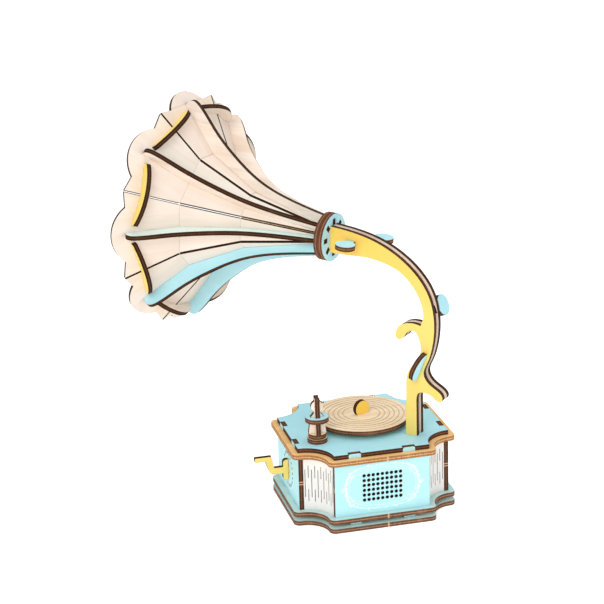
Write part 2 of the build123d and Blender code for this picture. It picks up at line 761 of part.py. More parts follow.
# ---- stays across the outer seams -----------------------------------------------------------
def stay(angle):
    """A thin bridge that stands on two outer panels, astride the seam between them."""
    first, last = stations[2], stations[3]
    seam_slope = atan((last[1] - first[1]) / (last[0] - first[0]))
    section = section_plane(angle)
    foot = section.from_local_coords(
        (last[0] - stay_place * cos(seam_slope), last[1] - stay_place * sin(seam_slope), 0)
    )
    seam_way = section.x_dir * cos(seam_slope) + section.y_dir * sin(seam_slope)
    side_way = section.z_dir
    out_way = seam_way.cross(side_way) * -1
    normal = panel_plane(angle + half_step, first, last).z_dir
    fall = normal.dot(side_way) / normal.dot(out_way)
    drop = abs(fall) * stay_half
    with BuildPart() as piece:
        with BuildSketch(Plane(origin=foot, x_dir=side_way, z_dir=side_way.cross(out_way))):
            with BuildLine():
                Polyline(
                    (-stay_half, stay_end_height - drop),
                    (-stay_half, slot_fit - drop),
                    (0, slot_fit),
                    (stay_half, slot_fit - drop),
                    (stay_half, stay_end_height - drop),
                )
                ThreePointArc(
                    (stay_half, stay_end_height - drop),
                    (0, stay_height),
                    (-stay_half, stay_end_height - drop),
                )
            make_face()
        extrude(amount=ply / 2, both=True)
    return piece.part


ring_of([stay(-(number + 0.5) * step) for number in range(petals)], "horn_stays")
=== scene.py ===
import math

import bpy
from mathutils import Matrix, Vector

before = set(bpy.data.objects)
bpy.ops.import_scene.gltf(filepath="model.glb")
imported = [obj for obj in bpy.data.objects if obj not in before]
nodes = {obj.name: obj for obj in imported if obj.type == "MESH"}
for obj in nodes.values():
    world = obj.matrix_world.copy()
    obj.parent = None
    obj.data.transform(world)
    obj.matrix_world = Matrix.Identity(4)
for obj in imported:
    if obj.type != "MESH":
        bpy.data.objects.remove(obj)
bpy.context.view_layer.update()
scene = bpy.context.scene

MM = 0.001
PLY = 3.0 * MM
PETAL_PLY = 2.0 * MM
X = Vector((1, 0, 0))
Y = Vector((0, 1, 0))
UP = Vector((0, 0, 1))

# ---- the frames that the design is built on ----------------------------------------------------
# A bare length here is in millimetres, and one times MM is in metres, as Blender's lengths are.
ARM_ALONG = Vector((-math.sqrt(0.5), math.sqrt(0.5), 0))
ARM_ACROSS = Vector((math.sqrt(0.5), math.sqrt(0.5), 0))
LEAN = math.radians(3.1)
ARM_MIDDLE = 2.1  # of the arm's middle plane from the box's centre, along ARM_ACROSS
COLLAR_ALONG = 18.7
COLLAR_HEIGHT = 173.6
HORN_ORIGIN = (ARM_ACROSS * ARM_MIDDLE + ARM_ALONG * COLLAR_ALONG + UP * COLLAR_HEIGHT) * MM
HORN_AXIS = ARM_ALONG * math.cos(LEAN) + UP * math.sin(LEAN)
HORN_UP = ARM_ALONG * -math.sin(LEAN) + UP * math.cos(LEAN)
HORN_SIDE = HORN_AXIS.cross(HORN_UP)
STEP = math.radians(45)  # from one rib to the next
STATIONS = [(6.4, 7.0), (57.0, 21.8), (90.0, 43.6), (111.4, 76.0)]  # along the axis, corner radius
TO_MIDDLE = math.cos(STEP / 2)  # from a corner's radius to that of a petal's middle
PETALS = 8

WALL_CORNER = (49.5, 46.0)  # where the planes of two walls meet, round which a corner panel bends
CORNER_RADIUS = 18.5  # of the printed face of a corner panel
CRANK_RISE = 26.15
GRILLE_RISE = 27.0
TABLE = Vector((0.8, 3.0, 57.0)) * MM  # middle of the record's top


def srgb(r, g, b):
    """Linear colour of an 8-bit display colour."""

    def linear(c):
        c /= 255
        return c / 12.92 if c <= 0.04045 else ((c + 0.055) / 1.055) ** 2.4

    return (linear(r), linear(g), linear(b), 1.0)


BLUE = srgb(174, 223, 233)
DECK_BLUE = srgb(172, 226, 236)
FRONT_BLUE = srgb(178, 228, 234)
PALE_BLUE = srgb(212, 232, 226)
GREEN = srgb(190, 220, 218)
YELLOW = srgb(238, 210, 112)
DEEP_YELLOW = srgb(250, 208, 84)
CREAM = srgb(240, 226, 214)
PETAL = srgb(232, 218, 206)
BIRCH = srgb(242, 222, 190)
TAN = srgb(242, 196, 134)
WHITE = srgb(228, 226, 222)
CHAR = srgb(30, 20, 13)
TEAL = srgb(30, 92, 96)
SPRUE = srgb(226, 178, 140)
FRAME_WHITE = srgb(244, 250, 250)
RING_WHITE = srgb(250, 252, 252)
GROOVE_GREY = srgb(176, 152, 150)
WARM_YELLOW = srgb(244, 196, 84)
FOLD_PINK = srgb(206, 188, 190)
# painted highlight: the paler blue painted on the upward-facing left rib for the glare of the top light
RIB_GLARE_BLUE = srgb(224, 238, 228)
PAPER = (srgb(246, 246, 246), srgb(249, 249, 249))

# charred outer veneers, burnt veneers and the paler core of a cut edge, for each kind of cut
DARK_EDGE = (srgb(26, 13, 6), srgb(52, 29, 14), srgb(88, 54, 32))
WALL_EDGE = (srgb(38, 22, 14), srgb(84, 52, 36), srgb(122, 82, 58))
DISC_EDGE = (srgb(52, 32, 20), srgb(104, 64, 44), srgb(150, 106, 78))
BASE_EDGE = (srgb(48, 30, 20), srgb(112, 76, 56), srgb(176, 128, 98))
TRIM_EDGE = (srgb(74, 42, 22), srgb(182, 126, 78), srgb(230, 178, 124))
DECK_EDGE = (srgb(30, 19, 13), srgb(76, 44, 30), srgb(128, 82, 58))
ARM_EDGE = (srgb(32, 18, 10), srgb(66, 38, 24), srgb(98, 64, 44))
PETAL_EDGE = (srgb(28, 18, 12), srgb(50, 34, 24), srgb(78, 56, 42))
SLIT_EDGE = (srgb(120, 104, 110), srgb(150, 132, 134), srgb(176, 158, 158))


# ---- node trees -------------------------------------------------------------------------------
BUMP_DEPTH = 0.05 * MM


class Tree:
    """A material's node tree, with one call for each kind of node."""

    def __init__(self, name):
        self.material = bpy.data.materials.new(name)
        self.material.use_nodes = True
        self.nodes = self.material.node_tree.nodes
        self.links = self.material.node_tree.links
        self.nodes.clear()

    def feed(self, socket, value):
        if isinstance(value, bpy.types.NodeSocket):
            self.links.new(value, socket)
        elif value is not None:
            socket.default_value = value

    def math(self, operation, a, b=None, c=None, clamp=False):
        node = self.nodes.new("ShaderNodeMath")
        node.operation = operation
        node.use_clamp = clamp
        for socket, value in zip(node.inputs, (a, b, c)):
            self.feed(socket, value)
        return node.outputs[0]

    def vector(self, operation, a, b=None):
        node = self.nodes.new("ShaderNodeVectorMath")
        node.operation = operation
        self.feed(node.inputs[0], a)
        if operation == "SCALE":
            self.feed(node.inputs["Scale"], b)
        else:
            self.feed(node.inputs[1], b)
        return node.outputs["Value" if operation == "DOT_PRODUCT" else "Vector"]

    def split(self, vector):
        node = self.nodes.new("ShaderNodeSeparateXYZ")
        self.feed(node.inputs[0], vector)
        return node.outputs

    def join(self, x, y, z):
        node = self.nodes.new("ShaderNodeCombineXYZ")
        for socket, value in zip(node.inputs, (x, y, z)):
            self.feed(socket, value)
        return node.outputs[0]

    def into(self, vector, origin, x, y, z):
        """A point's place in the frame with this origin and these axes."""
        node = self.nodes.new("ShaderNodeMapping")
        node.vector_type = "TEXTURE"
        self.feed(node.inputs["Vector"], vector)
        node.inputs["Location"].default_value = origin
        turn = Matrix((x, y, z)).transposed().to_euler("XYZ")
        node.inputs["Rotation"].default_value = turn
        return node.outputs[0]

    def mix(self, share, a, b, blend="MIX"):
        node = self.nodes.new("ShaderNodeMix")
        node.data_type = "RGBA"
        node.blend_type = blend
        self.feed(node.inputs[0], share)
        self.feed(node.inputs[6], a)
        self.feed(node.inputs[7], b)
        return node.outputs[2]

    def ramp(self, value, stops, smooth=False):
        node = self.nodes.new("ShaderNodeValToRGB")
        node.color_ramp.interpolation = "EASE" if smooth else "LINEAR"
        elements = node.color_ramp.elements
        while len(elements) < len(stops):
            elements.new(0.5)
        for element, (place, colour) in zip(elements, stops):
            element.position = place
            element.color = colour if hasattr(colour, "__len__") else (colour,) * 3 + (1,)
        self.feed(node.inputs[0], value)
        return node.outputs[0]

    def fade(self, value, low, high):
        """0 at low and 1 at high, smooth between."""
        node = self.nodes.new("ShaderNodeMapRange")
        node.interpolation_type = "SMOOTHSTEP"
        node.inputs["From Min"].default_value = low
        node.inputs["From Max"].default_value = high
        self.feed(node.inputs["Value"], value)
        return node.outputs[0]

    def noise(self, vector, scale, detail=3.0, rough=0.5, distort=0.0):
        node = self.nodes.new("ShaderNodeTexNoise")
        self.feed(node.inputs["Vector"], vector)
        node.inputs["Scale"].default_value = scale
        node.inputs["Detail"].default_value = detail
        node.inputs["Roughness"].default_value = rough
        node.inputs["Distortion"].default_value = distort
        return node.outputs[0]

    def place(self):
        node = self.nodes.new("ShaderNodeTexCoord")
        return node.outputs["Object"]

    def reach(self, a, b):
        """How far a place with these two coordinates is from the middle."""
        squares = self.math("ADD", self.math("POWER", a, 2.0), self.math("POWER", b, 2.0))
        return self.math("SQRT", squares)

    def near_edge(self, radius):
        """1 on a cut edge of the piece itself, 0 from about this distance inwards."""
        bevel = self.nodes.new("ShaderNodeBevel")
        bevel.samples = 6
        bevel.inputs["Radius"].default_value = radius
        geometry = self.nodes.new("ShaderNodeNewGeometry")
        match = self.vector("DOT_PRODUCT", bevel.outputs[0], geometry.outputs["True Normal"])
        return self.fade(match, 1.0, 0.80)

    def finish(self, colour, roughness, height=None, strength=0.3, glow=0.0, shine=0.35):
        """The material itself; height is a field for the bump, and strength is the bump's."""
        shader = self.nodes.new("ShaderNodeBsdfPrincipled")
        self.feed(shader.inputs["Base Color"], colour)
        self.feed(shader.inputs["Roughness"], roughness)
        shader.inputs["Specular IOR Level"].default_value = shine
        shader.inputs["Emission Color"].default_value = (1.0, 1.0, 1.0, 1.0)
        shader.inputs["Emission Strength"].default_value = glow
        if height is not None:
            bump = self.nodes.new("ShaderNodeBump")
            bump.inputs["Strength"].default_value = strength
            bump.inputs["Distance"].default_value = BUMP_DEPTH
            self.feed(bump.inputs["Height"], height)
            self.links.new(bump.outputs[0], shader.inputs["Normal"])
        output = self.nodes.new("ShaderNodeOutputMaterial")
        self.links.new(shader.outputs[0], output.inputs[0])
        return self.material


# ---- plywood ----------------------------------------------------------------------------------
def grain_of(tree, local, seed):
    """Fibre streaks that run along local x, as two fields from 0 to 1: broad and fine."""
    shifted = tree.vector("ADD", local, (seed * 0.37, seed * 0.11, seed * 0.23))
    broad = tree.noise(tree.vector("MULTIPLY", shifted, (14.0, 150.0, 60.0)), 1.0, 3.0, 0.55, 0.6)
    fine = tree.noise(tree.vector("MULTIPLY", shifted, (60.0, 1500.0, 400.0)), 1.0, 2.0, 0.6)
    return broad, fine


HALO = 0.5 * MM  # width of the scorched border along a cut
SCORCH = 0.8  # its strength


def wood_face(local, tree, colour, seed, printed, extra=None, wash=0.0):
    """The printed or bare side of a sheet; wash is how much the colour hides the grain."""
    broad, fine = grain_of(tree, local, seed)
    patches = tree.noise(tree.vector("ADD", local, (seed, 0, 0)), 45.0, 2.0, 0.5)
    depth = 0.10 if printed else 0.26
    fibre = (0.86, 0.86, 0.86) if printed else (0.80, 0.68, 0.52)
    dark = tuple(c * share for c, share in zip(colour, fibre)) + (1.0,)
    pale = tuple(min(1.0, c * 1.08 + 0.01) for c in colour[:3]) + (1.0,)
    shade = tree.mix(tree.math("MULTIPLY", tree.fade(broad, 0.35, 0.72), depth * 2.2), colour, dark)
    shade = tree.mix(tree.math("MULTIPLY", tree.fade(fine, 0.52, 0.75), depth * 1.6), shade, dark)
    shade = tree.mix(tree.math("MULTIPLY", tree.fade(patches, 0.45, 0.75), 0.35), shade, pale)
    if wash:
        shade = tree.mix(wash, shade, colour)
    if extra is not None:
        shade = extra(tree, local, shade)
    ragged = tree.math("ADD", tree.math("MULTIPLY", tree.noise(local, 900.0, 2.0), 0.6), 0.6)
    edge = tree.math("MULTIPLY", tree.near_edge(HALO), tree.math("MULTIPLY", ragged, SCORCH), clamp=True)
    smoke = tree.mix(0.5, CHAR, dark)
    shade = tree.mix(edge, shade, smoke)
    rough = tree.math("ADD", tree.math("MULTIPLY", fine, 0.18), 0.46 if printed else 0.55)
    height = tree.math("ADD", tree.math("MULTIPLY", fine, 0.7), tree.math("MULTIPLY", broad, 0.5))
    return tree.finish(shade, rough, height, 0.25 if printed else 0.4)


def burnt_edge(local, tree, thick, seed, cut, marks=()):
    """The laser-cut edge: charred veneers with a paler core; local z runs from 0 down to -thick.

    marks are the bridges that held the piece in its sheet, which stay pale: axis, place, half
    width, and how far from the middle they begin on the other axis.
    """
    char, burnt, core = cut
    axes = tree.split(local)
    depth = tree.math("DIVIDE", axes[2], -thick)
    wander = tree.noise(tree.vector("ADD", local, (seed, 0, 0)), 160.0, 2.0)
    depth = tree.math("ADD", depth, tree.math("MULTIPLY", tree.math("SUBTRACT", wander, 0.5), 0.10))
    bands = tree.ramp(
        depth,
        [(0.0, char), (0.09, burnt), (0.29, burnt), (0.36, char), (0.42, core), (0.60, core),
         (0.66, char), (0.74, burnt), (0.92, burnt), (1.0, char)],
    )
    across = tree.vector("MULTIPLY", local, (1.0, 1.0, 0.12))
    streaks = tree.noise(across, 2600.0, 2.0, 0.6)
    scorch = tree.noise(tree.vector("ADD", local, (0, seed, 0)), 95.0, 3.0, 0.6)
    shade = tree.mix(tree.math("MULTIPLY", tree.fade(streaks, 0.42, 0.7), 0.5), bands, char)
    shade = tree.mix(tree.math("MULTIPLY", tree.fade(scorch, 0.5, 0.75), 0.45), shade, core)
    for axis, place, half_width, clear in marks:
        away = tree.math("ABSOLUTE", tree.math("SUBTRACT", axes[axis], place * MM))
        far = tree.fade(tree.math("ABSOLUTE", axes[1 - axis]), (clear - 1) * MM, clear * MM)
        pale = tree.math("MULTIPLY", tree.fade(away, (half_width + 0.2) * MM, half_width * MM), 0.75)
        pale = tree.math("MULTIPLY", pale, far)
        shade = tree.mix(pale, shade, SPRUE)
    rough = tree.math("ADD", tree.math("MULTIPLY", streaks, 0.2), 0.7)
    return tree.finish(shade, rough, streaks, 0.35, shine=0.12)


FACE, BACK, EDGE = 0, 1, 2  # a piece's material slots


def axes_of(normal, grain):
    """A sheet's own axes: x along the grain and z out of the printed side."""
    z = normal.normalized()
    x = (grain - z * grain.dot(z)).normalized()
    return x, z.cross(x), z


def main_normal(mesh, toward):
    """The direction that most of the mesh's area faces, on the side that looks toward."""
    sums = []
    for face in mesh.polygons:
        for entry in sums:
            if abs(entry[0].dot(face.normal)) > 0.999:
                entry[1] += face.area
                break
        else:
            sums.append([face.normal.copy(), face.area])
    best = max(sums, key=lambda entry: entry[1])[0]
    return best if best.dot(toward) > 0 else -best


def assign(mesh, materials, kinds):
    """Gives each face of a mesh the material in its slot."""
    mesh.materials.clear()
    for material in materials:
        mesh.materials.append(material)
    mesh.polygons.foreach_set("material_index", kinds)
    mesh.update()


def kind_of(normal, outward):
    """The slot of a face: printed side, other side or cut edge."""
    across = normal.dot(outward)
    if across > 0.7:
        return FACE
    return BACK if across < -0.7 else EDGE


SEED_STEP = 0.731  # so that no two sheets show the same grain
seeds = iter(range(1, 500))


def dress_plate(node, toward, grain, paint, back, printed=True, extra=None, cut=DARK_EDGE,
                marks=(), soft=None):
    """Flat sheet: printed side, other side and burnt edge.

    toward is roughly the way that the printed side faces, extra draws on that side, and soft says
    of a place on the edge whether it looks like the printed side.
    """
    mesh = nodes[node].data
    normal = main_normal(mesh, toward)
    heights = [vertex.co.dot(normal) for vertex in mesh.vertices]
    top, thick = max(heights), max(heights) - min(heights)
    x, y, z = axes_of(normal, grain)
    seed = next(seeds) * SEED_STEP
    made = []
    for label, colour, is_printed in (("face", paint, printed), ("back", back, False)):
        tree = Tree(f"{node}_{label}")
        local = tree.into(tree.place(), normal * top, x, y, z)
        drawing = extra if label == "face" else None
        made.append(wood_face(local, tree, colour, seed, is_printed, drawing))
        seed += 0.4
    tree = Tree(f"{node}_edge")
    local = tree.into(tree.place(), normal * top, x, y, z)
    made.append(burnt_edge(local, tree, thick, seed, cut, marks))
    kinds = [kind_of(face.normal, normal) for face in mesh.polygons]
    if soft is not None:
        kinds = [FACE if soft(face.center) else kind for kind, face in zip(kinds, mesh.polygons)]
    assign(mesh, made, kinds)


# ---- the box ----------------------------------------------------------------------------------
PLATE_BRIDGES = ((0, 2.5, 0.45, 40),)  # where the wide plates were held in their sheet
dress_plate("deck_plate", UP, X, DECK_BLUE, CREAM, cut=DECK_EDGE)
dress_plate("trim_plate", UP, X, TAN, BIRCH, printed=False, cut=TRIM_EDGE, marks=PLATE_BRIDGES)
dress_plate("floor_plate", UP, X, GREEN, CREAM, cut=BASE_EDGE, marks=PLATE_BRIDGES)
dress_plate("base_spacer", UP, X, BIRCH, BIRCH, printed=False)
dress_plate("base_plate", UP, X, GREEN, CREAM, cut=BASE_EDGE, marks=PLATE_BRIDGES)


def line_of(tree, value, half_width, soft=0.35):
    """1 where a field in millimetres is near zero."""
    return tree.fade(tree.math("ABSOLUTE", value), half_width + soft, half_width)


# lines of the frame round the grille: half width, half height, squareness, half thickness, strength
FRAME_LINES = (
    (23.6, 14.6, 3.0, 0.30, 0.75),
    (22.0, 13.2, 2.6, 0.14, 0.45),
    (25.2, 12.6, 1.7, 0.16, 0.45),
)
# scrolls on each quarter of it: sideways, upwards, radius, radius of the hollow
SCROLLS = (
    (25.4, 0.0, 1.5, 0.7),
    (24.0, 3.4, 0.9, 0.0),
    (20.2, 9.8, 1.9, 1.0),
    (22.6, 6.8, 0.9, 0.0),
    (17.2, 12.4, 0.9, 0.0),
    (9.0, 14.6, 0.7, 0.0),
)
SCROLL_STRENGTH = 0.7


def front_print(tree, local, shade):
    """A faint white ornamental frame round the grille: rounded outlines with scrolls on them.

    Its right and left halves are alike, and so are its upper and lower ones.
    """
    centred = tree.vector("SUBTRACT", local, (0, GRILLE_RISE * MM, 0))
    axes = tree.split(tree.vector("SCALE", centred, 1 / MM))
    side = tree.math("ABSOLUTE", axes[0])
    rise = tree.math("ABSOLUTE", axes[1])
    layers = []
    for wide, high, power, half_width, strength in FRAME_LINES:
        wide_term = tree.math("POWER", tree.math("DIVIDE", side, wide), power)
        high_term = tree.math("POWER", tree.math("DIVIDE", rise, high), power)
        size = tree.math("POWER", tree.math("ADD", wide_term, high_term), 1 / power)
        off = tree.math("MULTIPLY", tree.math("SUBTRACT", size, 1.0), (wide + high) / 2)
        layers.append((line_of(tree, off, half_width), strength))
    for x, y, radius, hollow in SCROLLS:
        far = tree.reach(tree.math("SUBTRACT", side, x), tree.math("SUBTRACT", rise, y))
        spot = tree.fade(far, radius + 0.3, radius - 0.2)
        if hollow:
            spot = tree.math("MULTIPLY", spot, tree.fade(far, hollow - 0.2, hollow + 0.2))
        layers.append((spot, SCROLL_STRENGTH))
    worn = tree.fade(tree.noise(local, 700.0, 2.0), 0.36, 0.56)
    for share, strength in layers:
        cover = tree.math("MULTIPLY", tree.math("MULTIPLY", share, strength), worn)
        shade = tree.mix(cover, shade, FRAME_WHITE)
    return shade


DASHES = 20.0
DASH_RADIUS = 11.0
DASH_HALF = 0.8
RING_RADIUS = 13.3
RING_HALF = 0.2


def side_print(tree, local, shade):
    """A ring of dark dashes round the crank's hole, with a white ring outside and a paler field."""
    axes = tree.split(tree.vector("SCALE", local, 1 / MM))
    along, rise = axes[0], tree.math("ADD", axes[1], CRANK_RISE)  # local y points down
    reach = tree.reach(along, rise)
    turn = tree.math("MULTIPLY", tree.math("ARCTAN2", rise, along), DASHES)
    dash = tree.fade(tree.math("SINE", turn), -0.15, 0.15)
    band = line_of(tree, tree.math("SUBTRACT", reach, DASH_RADIUS), DASH_HALF, 0.3)
    ring = line_of(tree, tree.math("SUBTRACT", reach, RING_RADIUS), RING_HALF, 0.2)
    field = tree.fade(reach, 14.0, 9.0)
    shade = tree.mix(tree.math("MULTIPLY", field, 0.35), shade, PALE_BLUE)
    shade = tree.mix(tree.math("MULTIPLY", ring, 0.5), shade, RING_WHITE)
    return tree.mix(tree.math("MULTIPLY", tree.math("MULTIPLY", band, dash), 0.9), shade, TEAL)


# name, outward direction, grain, which way local y points, print
for node, toward, grain, sense, extra in (
    ("front_panel", -Y, X, 1, front_print),
    ("back_panel", Y, X, -1, None),
    ("left_panel", -X, Y, -1, side_print),
    ("right_panel", X, Y, 1, None),
):
    wall_bridges = tuple((1, sense * height, 0.25, 26) for height in (26.3, 27.9))
    dress_plate(node, toward, grain, FRONT_BLUE, CREAM, extra=extra, cut=WALL_EDGE, marks=wall_bridges)


def dress_corner_panel(name):
    """Curved panel cut by slits, bent round the corner where the planes of two walls meet."""
    node = f"corner_panel_{name}"
    mesh = nodes[node].data
    wide, deep = WALL_CORNER
    corner = Vector((-wide if "left" in name else wide, -deep if "front" in name else deep, 0)) * MM
    seed = next(seeds) * SEED_STEP
    made = []
    for label, colour in (("face", WHITE), ("back", CREAM)):
        tree = Tree(f"{node}_{label}")
        local = tree.into(tree.place(), corner, UP, X, Y)
        made.append(wood_face(local, tree, colour, seed, label == "face"))
    tree = Tree(f"{node}_edge")
    flat = tree.split(tree.vector("SUBTRACT", tree.place(), tuple(corner)))
    depth = tree.math("SUBTRACT", CORNER_RADIUS * MM, tree.reach(flat[0], flat[1]))
    local = tree.join(flat[2], tree.math("ARCTAN2", flat[1], flat[0]), depth)
    made.append(burnt_edge(local, tree, PLY, seed, SLIT_EDGE))
    kinds = []
    for face in mesh.polygons:
        outward = corner - face.center
        outward.z = 0
        kinds.append(kind_of(face.normal, outward.normalized()))
    assign(mesh, made, kinds)


for name in ("front_left", "front_right", "back_left", "back_right"):
    dress_corner_panel(name)

# ---- turntable and crank ----------------------------------------------------------------------
GROOVE_START = 12.0 * MM
GROOVE_STEP = 3.1 * MM
GROOVE_CLEAR = (8.0 * MM, 30.5 * MM)  # between the spindle's slot and the rim
GROOVE_DEPTH = 0.4 * MM
KEY_FACING = Vector((0.36, -0.93, 0))


def in_groove(point):
    """Whether a point is on a groove's wall or floor rather than on the disc's rim or slot."""
    reach = math.hypot(point.x - TABLE.x, point.y - TABLE.y)
    return point.z > TABLE.z - GROOVE_DEPTH and GROOVE_CLEAR[0] < reach < GROOVE_CLEAR[1]


def groove_rings(tree, local, shade):
    """Faint grey rings that darken the record along its grooves."""
    axes = tree.split(tree.vector("SUBTRACT", local, (TABLE.x, TABLE.y, 0)))
    reach = tree.reach(axes[0], axes[1])
    step = tree.math("DIVIDE", tree.math("SUBTRACT", reach, GROOVE_START), GROOVE_STEP)
    off = tree.math("SUBTRACT", step, tree.math("ROUND", step))
    ring = tree.fade(tree.math("ABSOLUTE", off), 0.14, 0.06)
    ring = tree.math("MULTIPLY", ring, tree.fade(reach, 31.0 * MM, 29.0 * MM))
    ring = tree.math("MULTIPLY", ring, tree.fade(reach, 10.0 * MM, 11.5 * MM))
    worn = tree.fade(tree.noise(local, 240.0, 2.0), 0.35, 0.6)
    share = tree.math("MULTIPLY", ring, tree.math("MULTIPLY", worn, 0.38))
    return tree.mix(share, shade, GROOVE_GREY)


dress_plate("turntable_disc", UP, X, BIRCH, BIRCH, printed=False, extra=groove_rings,
            cut=DISC_EDGE, soft=in_groove)
dress_plate("hub_washer", UP, X, BIRCH, BIRCH, printed=False)
dress_plate("spindle_retainer", UP, X, BIRCH, BIRCH, printed=False)
dress_plate("spindle_key", KEY_FACING, UP, DEEP_YELLOW, CREAM)
dress_plate("crank_handle", -Y, X, YELLOW, CREAM)
dress_plate("crank_washer", -X, UP, BIRCH, BIRCH, printed=False)

# ---- post -------------------------------------------------------------------------------------
for node in ("post_base_disc", "post_step_disc"):
    dress_plate(node, UP, X, BIRCH, BIRCH, printed=False, cut=DISC_EDGE)
dress_plate("post_ring_disc", UP, X, DECK_BLUE, CREAM, cut=DISC_EDGE)
for node, toward in (
    ("post_eye_plate", Vector((-1, -0.3, 0))),
    ("post_plain_plate", Vector((0.3, -1, 0))),
):
    dress_plate(node, toward, UP, CREAM, CREAM, printed=False, cut=WALL_EDGE)


# ---- arm --------------------------------------------------------------------------------------
WARM_FROM, WARM_TO = 128.0 * MM, 176.0 * MM  # heights on the arm


def warm_top(tree, local, shade):
    """The arm's print deepens to a warmer yellow towards the collar."""
    warm = tree.fade(tree.split(local)[0], WARM_FROM, WARM_TO)
    return tree.mix(tree.math("MULTIPLY", warm, 0.75), shade, WARM_YELLOW)


dress_plate("arm_front_plate", -ARM_ACROSS, UP, YELLOW, CREAM, extra=warm_top, cut=ARM_EDGE)
dress_plate("arm_rear_plate", ARM_ACROSS, UP, YELLOW, CREAM, extra=warm_top, cut=DARK_EDGE)
for number, toward in ((1, UP), (2, UP), (3, -ARM_ALONG), (4, -ARM_ALONG)):
    dress_plate(f"arm_button_{number}", toward, ARM_ACROSS, BLUE, CREAM,
                cut=DISC_EDGE if number < 3 else DECK_EDGE)
dress_plate("collar_arm_disc", -HORN_AXIS, UP, BLUE, CREAM, cut=DISC_EDGE)
dress_plate("collar_horn_disc", HORN_AXIS, UP, CREAM, CREAM, printed=False, cut=DISC_EDGE)


# ---- horn -------------------------------------------------------------------------------------
def around_horn(tree, offset):
    """Place folded onto one petal: across, outwards and along the axis, with the petal's number."""
    local = tree.into(tree.place(), HORN_ORIGIN, HORN_UP, HORN_SIDE, HORN_AXIS)
    up, side, axial = tree.split(local)
    angle = tree.math("ARCTAN2", side, up)
    number = tree.math("ROUND", tree.math("DIVIDE", tree.math("SUBTRACT", angle, offset), STEP))
    fold = tree.math("SUBTRACT", tree.math("SUBTRACT", angle, offset),
                     tree.math("MULTIPLY", number, STEP))
    reach = tree.reach(up, side)
    across = tree.math("MULTIPLY", reach, tree.math("SINE", fold))
    out = tree.math("MULTIPLY", reach, tree.math("COSINE", fold))
    return across, out, axial, number


def on_horn(point):
    """A point's places along the horn's upward, sideways and axial directions."""
    offset = point - HORN_ORIGIN
    return offset.dot(HORN_UP), offset.dot(HORN_SIDE), offset.dot(HORN_AXIS)


def radial(angle):
    """The direction out from the horn's axis at this angle from its upward one."""
    return HORN_UP * math.cos(angle) + HORN_SIDE * math.sin(angle)


def slope_of(first, last, share):
    """Angle between the horn's axis and a line from one station to the next."""
    return math.atan2((last[1] - first[1]) * share, last[0] - first[0])


def fold_lines(length):
    """A soft pink-grey line along both ends of a panel, where the horn folds."""

    def draw(tree, local, shade):
        along = tree.split(local)[0]
        from_middle = tree.math("ABSOLUTE", tree.math("SUBTRACT", along, length / 2))
        from_end = tree.math("ABSOLUTE", tree.math("SUBTRACT", from_middle, length / 2))
        near = tree.math("MULTIPLY", tree.fade(from_end, 1.1 * MM, 0.2 * MM), 0.5)
        return tree.mix(near, shade, FOLD_PINK)

    return draw


def petal_materials(index):
    """Outside, inside and edge of the panels between two stations, in the petal's own frame."""
    first, last = STATIONS[index], STATIONS[index + 1]
    slope = slope_of(first, last, TO_MIDDLE)
    origin = Vector((0, first[1] * TO_MIDDLE, first[0])) * MM
    along = Vector((0, math.sin(slope), math.cos(slope)))
    out = Vector((0, math.cos(slope), -math.sin(slope)))
    folds = fold_lines((last[0] - first[0]) / math.cos(slope) * MM)
    made = []
    for label, colour in (("outside", PETAL), ("inside", BIRCH), ("edge", None)):
        tree = Tree(f"petal_{index}_{label}")
        across, reach, axial, number = around_horn(tree, 0.0)
        folded = tree.join(across, reach, axial)
        local = tree.into(folded, origin, along, out.cross(along), out)
        moved = tree.vector("ADD", local, tree.join(tree.math("MULTIPLY", number, 0.173), 0.0, 0.0))
        seed = index * 1.3 + 0.4
        if colour is None:
            made.append(burnt_edge(moved, tree, PETAL_PLY, seed, PETAL_EDGE))
        else:
            made.append(wood_face(moved, tree, colour, seed, False, extra=folds, wash=0.55))
    return made, slope


def dress_petals(node, materials, slope):
    """Panels that lie at one slope to the horn's axis."""
    mesh = nodes[node].data
    kinds = []
    for face in mesh.polygons:
        up, side, _ = on_horn(face.center)
        turn = round(math.atan2(side, up) / STEP) * STEP
        outward = radial(turn) * math.cos(slope) - HORN_AXIS * math.sin(slope)
        kinds.append(kind_of(face.normal, outward))
    assign(mesh, materials, kinds)


for index, group in ((0, ["horn_throat_panels"]), (1, ["horn_middle_panels"]),
                     (2, [f"horn_outer_panel_{n}" for n in range(1, PETALS + 1)])):
    materials, slope = petal_materials(index)
    for node in group:
        dress_petals(node, materials, slope)

LEFT_RIB = -2.0  # its number, counted from the top rib's 0
RIB_SEED = 3.1
STAY_SEED = 5.3
STAY_PLACE = 13.0  # down the seam from the rim


def rib_glare_highlight(number):
    """Painted highlight: the left rib lies flat with its print facing up, and is painted a much paler
    blue than the others', most of all at the rim, for the glare of the top light on it.
    """

    def paint(tree, local, shade):
        is_left = tree.math("COMPARE", number, LEFT_RIB, 0.5)
        toward_rim = tree.fade(tree.split(local)[1], 6.0 * MM, 30.0 * MM)
        share = tree.math("ADD", tree.math("MULTIPLY", toward_rim, 0.4), 0.45)
        # painted highlight: the paler blue stands in for the top light's glare on this upward-facing rib
        return tree.mix(tree.math("MULTIPLY", is_left, share), shade, RIB_GLARE_BLUE)

    return paint


